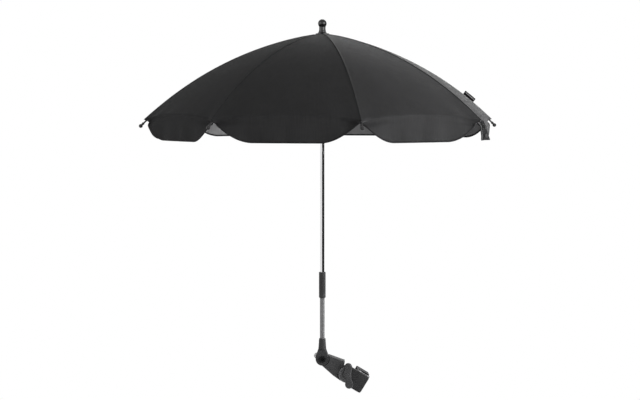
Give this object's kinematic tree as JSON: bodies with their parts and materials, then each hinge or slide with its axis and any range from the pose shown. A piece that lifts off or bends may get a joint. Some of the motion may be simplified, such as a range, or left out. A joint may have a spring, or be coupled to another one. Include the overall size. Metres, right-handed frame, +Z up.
{
  "type": "pram parasol",
  "caption": "Round folding parasol with a scalloped cloth canopy on ribs, a telescopic mast, a tilt joint and a screw clamp that holds it on a pram tube.",
  "frame": {"origin": "middle of the gripped pram tube, on its axis, halfway along the jaw pads", "axes": "+Z up along the upright mast, +X from the mast towards the clamp, +Y away from the clamp's front plate"},
  "size_m": [0.6849, 0.6848, 0.7202],
  "materials": {
    "moulded_black": "fine moulded grain",
    "pad_rubber": "soft matt rubber",
    "jaw_rubber": "soft matt rubber",
    "bolt_black": "black finish",
    "screw_steel": "zinc-plated",
    "lever_zinc": "pale grey cast",
    "tube_satin": "satin drawn tube",
    "shaft_chrome": "bright plated",
    "gloss_black": "polished",
    "rib_black": "black enamel",
    "tip_black": "moulded",
    "canopy_cloth": "plain weave polyester",
    "trim_cloth": "woven tape"
  },
  "bodies": {
    "clamp": {"clamp_body": "moulded_black", "fixed_pad": "pad_rubber", "swing_bolt": "screw_steel"},
    "jaw": {"moving_jaw": "moulded_black", "moving_pad": "jaw_rubber"},
    "jaw_screw": {"clamp_screw": "screw_steel", "clamp_knob": "moulded_black"},
    "wing": {"wing_knob": "moulded_black"},
    "arm": {"clamp_arm": "moulded_black"},
    "mast": {"mast_socket": "moulded_black", "tilt_bolt": "bolt_black", "lower_tube": "tube_satin", "grip_collet": "moulded_black"},
    "lever": {"tilt_lever": "lever_zinc"},
    "collar": {"collar": "moulded_black"},
    "shaft": {"upper_shaft": "shaft_chrome", "crown": "moulded_black", "crown_wire": "screw_steel", "rosette": "gloss_black", "finial": "gloss_black"},
    "top_catch": {"top_catch": "screw_steel"},
    "low_catch": {"low_catch": "screw_steel"},
    "runner": {"runner": "moulded_black", "runner_wire": "screw_steel"},
    "rib_1": {"rib_1": "rib_black", "rib_tip_1": "tip_black", "canopy_panel_1": "canopy_cloth", "seam_tag": "trim_cloth"},
    "stretcher_1": {"stretcher_1": "rib_black"},
    "rib_2": {"rib_2": "rib_black", "rib_tip_2": "tip_black", "canopy_panel_2": "canopy_cloth"},
    "stretcher_2": {"stretcher_2": "rib_black"},
    "rib_3": {"rib_3": "rib_black", "rib_tip_3": "tip_black", "canopy_panel_3": "canopy_cloth"},
    "stretcher_3": {"stretcher_3": "rib_black"},
    "rib_4": {"rib_4": "rib_black", "rib_tip_4": "tip_black", "canopy_panel_4": "canopy_cloth"},
    "stretcher_4": {"stretcher_4": "rib_black"},
    "rib_5": {"rib_5": "rib_black", "rib_tip_5": "tip_black", "canopy_panel_5": "canopy_cloth"},
    "stretcher_5": {"stretcher_5": "rib_black"},
    "rib_6": {"rib_6": "rib_black", "rib_tip_6": "tip_black", "canopy_panel_6": "canopy_cloth"},
    "stretcher_6": {"stretcher_6": "rib_black"},
    "rib_7": {"rib_7": "rib_black", "rib_tip_7": "tip_black", "canopy_panel_7": "canopy_cloth"},
    "stretcher_7": {"stretcher_7": "rib_black"},
    "rib_8": {"rib_8": "rib_black", "rib_tip_8": "tip_black", "canopy_panel_8": "canopy_cloth", "closing_strap": "trim_cloth", "strap_snap": "bolt_black"},
    "stretcher_8": {"stretcher_8": "rib_black"}
  },
  "joints": [
    {"name": "screw_turn", "type": "hinge", "parent": "jaw", "child": "jaw_screw", "pos_m": [0, 0.03, 0], "axis": [0, -1, 0], "range_deg": [-900.1, 900.1]},
    {"name": "jaw_slide", "type": "slide", "parent": "clamp", "child": "jaw", "axis": [0, -1, 0], "range_m": [-0.005, 0.005]},
    {"name": "wing_turn", "type": "hinge", "parent": "clamp", "child": "wing", "pos_m": [-0.02571, 0, 0.01545], "axis": [0, -1, 0], "range_deg": [-360, 90]},
    {"name": "arm_swing", "type": "hinge", "parent": "clamp", "child": "arm", "pos_m": [-0.02571, 0, 0.01545], "axis": [0, 1, 0], "range_deg": [-25, 45]},
    {"name": "tilt", "type": "hinge", "parent": "arm", "child": "mast", "pos_m": [-0.07284, -0.0045, 0.04575], "axis": [0, 1, 0], "range_deg": [-90, 8]},
    {"name": "lever_turn", "type": "hinge", "parent": "mast", "child": "lever", "pos_m": [-0.07284, -0.0045, 0.04575], "axis": [0, 1, 0], "range_deg": [-30, 90]},
    {"name": "collar_twist", "type": "hinge", "parent": "mast", "child": "collar", "pos_m": [-0.07284, -0.0045, 0.04575], "axis": [0, 0, 1], "range_deg": [0, 90]},
    {"name": "shaft_slide", "type": "slide", "parent": "mast", "child": "shaft", "axis": [0, 0, 1], "range_m": [-0.065, 0.01]},
    {"name": "top_catch_press", "type": "slide", "parent": "shaft", "child": "top_catch", "axis": [0, -1, 0], "range_m": [0, 0.002], "stiffness_N_per_m": 200},
    {"name": "low_catch_press", "type": "slide", "parent": "shaft", "child": "low_catch", "axis": [0, -1, 0], "range_m": [0, 0.002], "stiffness_N_per_m": 200},
    {"name": "canopy_fold", "type": "hinge", "parent": "shaft", "child": "rib_1", "pos_m": [-0.06351, -0.0027, 0.66805], "axis": [-0.1891, 0.982, 0], "range_deg": [0, 58], "deforming": ["canopy_panel_1"]},
    {"name": "rib_2_hinge", "type": "hinge", "parent": "shaft", "child": "rib_2", "pos_m": [-0.06751, 0.00337, 0.66805], "axis": [-0.8281, 0.5606, 0], "range_deg": [0, 58], "deforming": ["canopy_panel_2"]},
    {"name": "rib_3_hinge", "type": "hinge", "parent": "shaft", "child": "rib_3", "pos_m": [-0.07464, 0.00483, 0.66805], "axis": [-0.982, -0.1891, 0], "range_deg": [0, 58], "deforming": ["canopy_panel_3"]},
    {"name": "rib_4_hinge", "type": "hinge", "parent": "shaft", "child": "rib_4", "pos_m": [-0.08071, 0.00083, 0.66805], "axis": [-0.5606, -0.8281, 0], "range_deg": [0, 58], "deforming": ["canopy_panel_4"]},
    {"name": "rib_5_hinge", "type": "hinge", "parent": "shaft", "child": "rib_5", "pos_m": [-0.08217, -0.0063, 0.66805], "axis": [0.1891, -0.982, 0], "range_deg": [0, 58], "deforming": ["canopy_panel_5"]},
    {"name": "rib_6_hinge", "type": "hinge", "parent": "shaft", "child": "rib_6", "pos_m": [-0.07817, -0.01237, 0.66805], "axis": [0.8281, -0.5606, 0], "range_deg": [0, 58], "deforming": ["canopy_panel_6"]},
    {"name": "rib_7_hinge", "type": "hinge", "parent": "shaft", "child": "rib_7", "pos_m": [-0.07104, -0.01383, 0.66805], "axis": [0.982, 0.1891, 0], "range_deg": [0, 58], "deforming": ["canopy_panel_7"]},
    {"name": "rib_8_hinge", "type": "hinge", "parent": "shaft", "child": "rib_8", "pos_m": [-0.06497, -0.00983, 0.66805], "axis": [0.5606, 0.8281, 0], "range_deg": [0, 58], "deforming": ["canopy_panel_8", "closing_strap", "strap_snap"]},
    {"name": "stretcher_1_hinge", "type": "hinge", "parent": "rib_1", "child": "stretcher_1", "pos_m": [0.07445, 0.02386, 0.62756], "axis": [-0.1891, 0.982, 0], "range_deg": [-116, 0]},
    {"name": "stretcher_2_hinge", "type": "hinge", "parent": "rib_2", "child": "stretcher_2", "pos_m": [0.01125, 0.11971, 0.62756], "axis": [-0.8281, 0.5606, 0], "range_deg": [-116, 0]},
    {"name": "stretcher_3_hinge", "type": "hinge", "parent": "rib_3", "child": "stretcher_3", "pos_m": [-0.10121, 0.14279, 0.62756], "axis": [-0.982, -0.1891, 0], "range_deg": [-116, 0]},
    {"name": "stretcher_4_hinge", "type": "hinge", "parent": "rib_4", "child": "stretcher_4", "pos_m": [-0.19705, 0.0796, 0.62756], "axis": [-0.5606, -0.8281, 0], "range_deg": [-116, 0]},
    {"name": "stretcher_5_hinge", "type": "hinge", "parent": "rib_5", "child": "stretcher_5", "pos_m": [-0.22013, -0.03286, 0.62756], "axis": [0.1891, -0.982, 0], "range_deg": [-116, 0]},
    {"name": "stretcher_6_hinge", "type": "hinge", "parent": "rib_6", "child": "stretcher_6", "pos_m": [-0.15694, -0.12871, 0.62756], "axis": [0.8281, -0.5606, 0], "range_deg": [-116, 0]},
    {"name": "stretcher_7_hinge", "type": "hinge", "parent": "rib_7", "child": "stretcher_7", "pos_m": [-0.04448, -0.15179, 0.62756], "axis": [0.982, 0.1891, 0], "range_deg": [-116, 0]},
    {"name": "stretcher_8_hinge", "type": "hinge", "parent": "rib_8", "child": "stretcher_8", "pos_m": [0.05137, -0.0886, 0.62756], "axis": [0.5606, 0.8281, 0], "range_deg": [-116, 0]},
    {"name": "runner_pivot", "type": "hinge", "parent": "stretcher_1", "child": "runner", "pos_m": [-0.06351, -0.0027, 0.58708], "axis": [-0.1891, 0.982, 0], "range_deg": [0, 58]}
  ],
  "couplings": [
    {"joint": "screw_turn", "follows": "jaw_slide", "rad_per_m": 3141.6},
    {"joint": "rib_2_hinge", "follows": "canopy_fold", "ratio": 1},
    {"joint": "rib_3_hinge", "follows": "canopy_fold", "ratio": 1},
    {"joint": "rib_4_hinge", "follows": "canopy_fold", "ratio": 1},
    {"joint": "rib_5_hinge", "follows": "canopy_fold", "ratio": 1},
    {"joint": "rib_6_hinge", "follows": "canopy_fold", "ratio": 1},
    {"joint": "rib_7_hinge", "follows": "canopy_fold", "ratio": 1},
    {"joint": "rib_8_hinge", "follows": "canopy_fold", "ratio": 1},
    {"joint": "stretcher_1_hinge", "follows": "canopy_fold", "ratio": -2},
    {"joint": "stretcher_2_hinge", "follows": "canopy_fold", "ratio": -2},
    {"joint": "stretcher_3_hinge", "follows": "canopy_fold", "ratio": -2},
    {"joint": "stretcher_4_hinge", "follows": "canopy_fold", "ratio": -2},
    {"joint": "stretcher_5_hinge", "follows": "canopy_fold", "ratio": -2},
    {"joint": "stretcher_6_hinge", "follows": "canopy_fold", "ratio": -2},
    {"joint": "stretcher_7_hinge", "follows": "canopy_fold", "ratio": -2},
    {"joint": "stretcher_8_hinge", "follows": "canopy_fold", "ratio": -2},
    {"joint": "runner_pivot", "follows": "canopy_fold", "ratio": 1}
  ]
}
